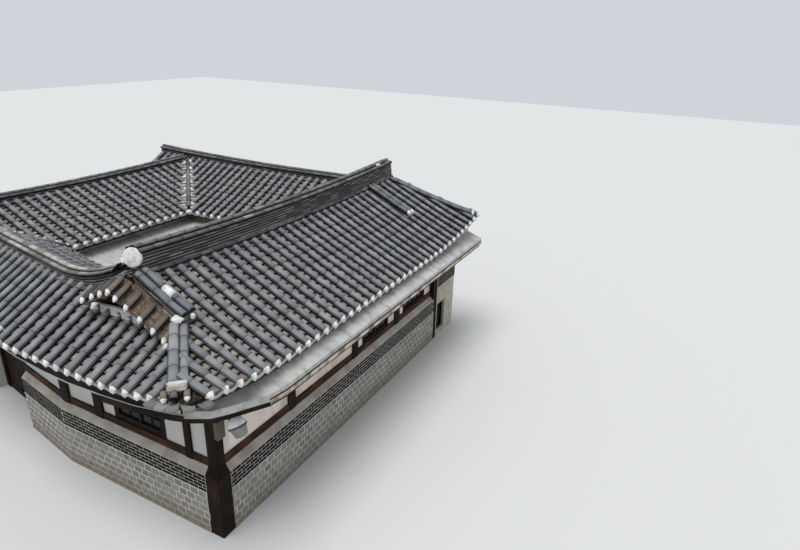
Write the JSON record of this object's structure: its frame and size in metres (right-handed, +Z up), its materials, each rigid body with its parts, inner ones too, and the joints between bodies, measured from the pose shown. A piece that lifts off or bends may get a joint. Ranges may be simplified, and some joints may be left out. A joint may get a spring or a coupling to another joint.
{
  "type": "courtyard hanok house",
  "caption": "Traditional tiled courtyard house with curved hip-and-gable roofs, stone and brick lower walls, white plaster and dark timber, joined wings around a yard.",
  "frame": {"origin": "middle of the whole plan, on the ground", "axes": "+Z up, +Y along the long east street wall away from the near corner, -X along the south street wall"},
  "size_m": [11.457, 10.837, 4.5236],
  "materials": {
    "granite": "rough cut blocks with raised joints",
    "lime_plaster": "matte lime render",
    "white_plaster": "matte white plaster",
    "dark_timber": "dark stained, weathered",
    "red_timber": "stained, weathered",
    "roof_tile": "unglazed dark clay",
    "ridge_tile": "unglazed dark clay in layers",
    "sheet_metal": "satin paint",
    "dark_glass": "dark pane",
    "paving": "rough",
    "lamp_metal": "gloss white"
  },
  "bodies": {
    "root": {"east_outer_slope": "roof_tile", "east_yard_slope": "roof_tile", "south_front_slope": "roof_tile", "south_yard_slope": "roof_tile", "west_yard_slope": "roof_tile", "west_outer_slope": "roof_tile", "north_yard_slope": "roof_tile", "north_west_slope": "roof_tile", "north_outer_slope": "roof_tile", "east_gable": "white_plaster", "west_gable": "white_plaster", "north_gable": "white_plaster", "main_ridge": "ridge_tile", "south_ridge": "ridge_tile", "west_ridge": "ridge_tile", "north_ridge": "ridge_tile", "near_hip_ridge": "ridge_tile", "near_descending_ridge": "ridge_tile", "far_descending_ridge": "ridge_tile", "far_verge_ridge": "ridge_tile", "southwest_hip_ridge": "ridge_tile", "northwest_hip_ridge": "ridge_tile", "corner_pier": "dark_timber", "east_stone_wall": "granite", "south_stone_wall": "granite", "east_wall_cap": "lime_plaster", "south_wall_cap": "lime_plaster", "east_sill_beam": "red_timber", "south_sill_beam": "red_timber", "east_upper_wall": "white_plaster", "south_upper_wall": "white_plaster", "east_post_1": "dark_timber", "east_post_2": "dark_timber", "east_post_3": "dark_timber", "south_post_1": "dark_timber", "south_post_2": "dark_timber", "bend_post": "dark_timber", "corner_post": "dark_timber", "east_end_post": "dark_timber", "east_window_1": "dark_timber", "east_window_2": "dark_timber", "south_window": "dark_timber", "far_bay_wall": "lime_plaster", "far_window": "dark_glass", "far_wall": "white_plaster", "north_wall": "white_plaster", "west_wall": "white_plaster", "west_near_wall": "white_plaster", "east_yard_wall": "white_plaster", "north_yard_wall": "white_plaster", "west_yard_wall": "white_plaster", "south_yard_wall": "white_plaster", "gate": "dark_timber", "east_floor": "paving", "west_floor": "paving", "yard_floor": "paving", "east_awning": "sheet_metal", "yard_awning": "sheet_metal", "south_eave_strip": "sheet_metal", "corner_lamp": "lamp_metal"}
  },
  "joints": []
}
